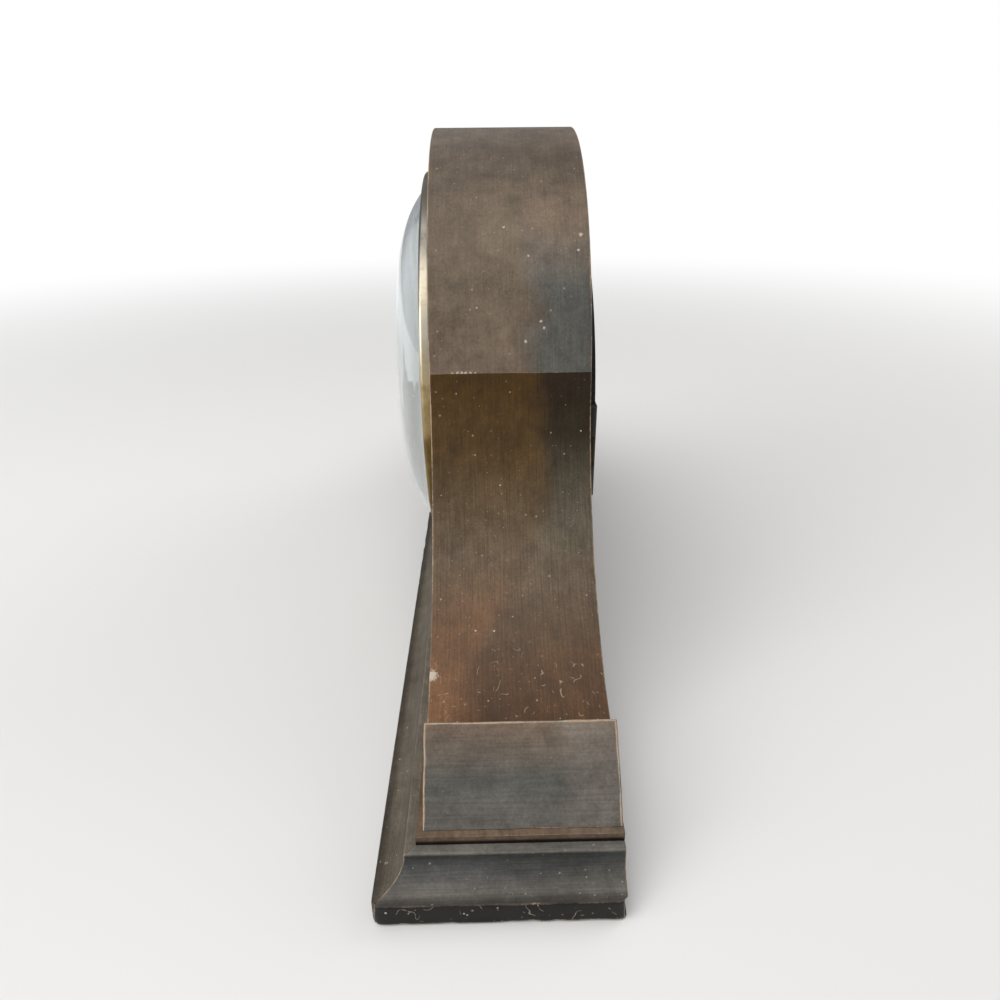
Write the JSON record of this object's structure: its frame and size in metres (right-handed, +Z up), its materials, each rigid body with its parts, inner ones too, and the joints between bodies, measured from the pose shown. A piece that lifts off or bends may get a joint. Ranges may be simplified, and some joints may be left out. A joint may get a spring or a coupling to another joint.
{
  "type": "tambour mantel clock",
  "caption": "Wooden hat-shaped mantel clock with a hinged domed bezel, a spring movement, a short pendulum and a round back door.",
  "frame": {"origin": "the middle of the base board's underside, on the table", "axes": "X along the length, the dial faces -Y, Z up"},
  "size_m": [0.505, 0.0979, 0.2407],
  "materials": {
    "stained_wood": "worn satin dark stain",
    "plain_wood": "bare softwood",
    "screw_steel": "plain steel",
    "bezel_metal": "dull plated brass",
    "clear_glass": "clear",
    "dial_paint": "satin cream paint",
    "blued_steel": "blued",
    "clock_brass": "brushed brass",
    "black_paint": "satin black"
  },
  "bodies": {
    "case": {"front_board": "stained_wood", "back_board": "stained_wood", "arch_skin": "stained_wood", "wing_skin_left": "stained_wood", "wing_skin_right": "stained_wood", "end_block_left": "stained_wood", "end_block_right": "stained_wood", "base_board": "stained_wood", "front_moulding": "stained_wood", "end_moulding_left": "stained_wood", "end_moulding_right": "stained_wood", "corner_blocks": "plain_wood", "base_screws": "screw_steel", "bezel_hinge_leaf": "bezel_metal", "bezel_catch": "bezel_metal", "dial_plate": "dial_paint", "dial_screws": "bezel_metal", "movement_front_plate": "clock_brass", "movement_back_plate": "clock_brass", "plate_pillars": "clock_brass", "pillar_nuts": "screw_steel", "mounting_screws": "screw_steel", "click_spring": "screw_steel", "suspension_cock": "clock_brass", "door_hinge_leaf": "black_paint"},
    "bezel": {"bezel": "bezel_metal", "bezel_glass": "clear_glass", "glass_ring": "bezel_metal", "bezel_hinge_pin": "screw_steel"},
    "back_door": {"back_door": "black_paint", "door_hinge_pin": "screw_steel"},
    "door_catch": {"door_catch": "black_paint"},
    "minute_hand": {"minute_hand": "blued_steel", "cannon_pinion": "clock_brass"},
    "hour_hand": {"hour_hand": "blued_steel", "hour_wheel": "clock_brass"},
    "minute_wheel": {"minute_wheel": "clock_brass"},
    "escape_wheel": {"escape_wheel": "clock_brass"},
    "third_wheel": {"third_wheel": "clock_brass"},
    "centre_wheel": {"centre_wheel": "clock_brass", "hand_nut": "clock_brass"},
    "second_wheel": {"second_wheel": "clock_brass"},
    "barrel": {"barrel": "clock_brass", "barrel_cover": "clock_brass", "mainspring": "screw_steel"},
    "winding_arbor": {"winding_arbor": "screw_steel", "ratchet_wheel": "screw_steel"},
    "click": {"click": "clock_brass"},
    "pendulum": {"suspension_spring": "screw_steel", "pendulum_rod": "screw_steel", "pendulum_bob": "clock_brass"},
    "rating_nut": {"rating_nut": "clock_brass"},
    "pallets": {"pallets": "screw_steel", "crutch": "screw_steel"}
  },
  "joints": [
    {"name": "bezel_hinge", "type": "hinge", "parent": "case", "child": "bezel", "pos_m": [-0.0991, -0.0357, 0.124], "axis": [0, 0, -1], "range_deg": [0, 110]},
    {"name": "back_door_hinge", "type": "hinge", "parent": "case", "child": "back_door", "pos_m": [0.086, 0.0393, 0.101], "axis": [0, 0, -1], "range_deg": [0, 110]},
    {"name": "door_catch_turn", "type": "hinge", "parent": "case", "child": "door_catch", "pos_m": [-0.091, 0.0351, 0.11], "axis": [0, 1, 0], "range_deg": [0, 90]},
    {"name": "minute_hand_turn", "type": "hinge", "parent": "case", "child": "minute_hand", "pos_m": [0, -0.0239, 0.124], "axis": [0, -1, 0], "continuous": true},
    {"name": "hour_hand_turn", "type": "hinge", "parent": "case", "child": "hour_hand", "pos_m": [0, -0.0239, 0.124], "axis": [0, -1, 0], "continuous": true},
    {"name": "minute_wheel_turn", "type": "hinge", "parent": "case", "child": "minute_wheel", "pos_m": [0.0099, -0.0239, 0.1339], "axis": [0, -1, 0], "continuous": true},
    {"name": "escape_wheel_turn", "type": "hinge", "parent": "case", "child": "escape_wheel", "pos_m": [0, -0.0223, 0.15718], "axis": [0, -1, 0], "continuous": true},
    {"name": "third_wheel_turn", "type": "hinge", "parent": "case", "child": "third_wheel", "pos_m": [-0.01137, -0.0223, 0.1437], "axis": [0, -1, 0], "continuous": true},
    {"name": "centre_wheel_turn", "type": "hinge", "parent": "case", "child": "centre_wheel", "pos_m": [0, -0.0223, 0.124], "axis": [0, -1, 0], "continuous": true},
    {"name": "second_wheel_turn", "type": "hinge", "parent": "case", "child": "second_wheel", "pos_m": [0.01478, -0.0223, 0.10472], "axis": [0, -1, 0], "continuous": true},
    {"name": "barrel_turn", "type": "hinge", "parent": "case", "child": "barrel", "pos_m": [0, -0.0223, 0.08], "axis": [0, -1, 0], "continuous": true},
    {"name": "winding_turn", "type": "hinge", "parent": "case", "child": "winding_arbor", "pos_m": [0, -0.0223, 0.08], "axis": [0, -1, 0], "continuous": true},
    {"name": "click_lift", "type": "hinge", "parent": "case", "child": "click", "pos_m": [0.017, 0.0073, 0.086], "axis": [0, -1, 0], "range_deg": [0, 15], "stiffness_Nm_per_rad": 0.002, "springref_deg": -5.73},
    {"name": "pendulum_swing", "type": "hinge", "parent": "case", "child": "pendulum", "pos_m": [0, 0.0159, 0.17478], "axis": [0, 1, 0], "range_deg": [-4, 4]},
    {"name": "pallet_rock", "type": "hinge", "parent": "case", "child": "pallets", "pos_m": [0, -0.0223, 0.17478], "axis": [0, 1, 0], "range_deg": [-4, 4]},
    {"name": "rating_nut_turn", "type": "hinge", "parent": "pendulum", "child": "rating_nut", "pos_m": [0, 0.0159, 0.04278], "axis": [0, 0, 1], "continuous": true}
  ],
  "couplings": [
    {"joint": "hour_hand_turn", "follows": "minute_hand_turn", "ratio": 0.083333},
    {"joint": "minute_wheel_turn", "follows": "minute_hand_turn", "ratio": -0.33333},
    {"joint": "third_wheel_turn", "follows": "escape_wheel_turn", "ratio": -0.090909},
    {"joint": "centre_wheel_turn", "follows": "escape_wheel_turn", "ratio": 0.0075758},
    {"joint": "second_wheel_turn", "follows": "escape_wheel_turn", "ratio": -0.00094697},
    {"joint": "barrel_turn", "follows": "escape_wheel_turn", "ratio": 0.00013528},
    {"joint": "pallet_rock", "follows": "pendulum_swing", "ratio": 1}
  ]
}
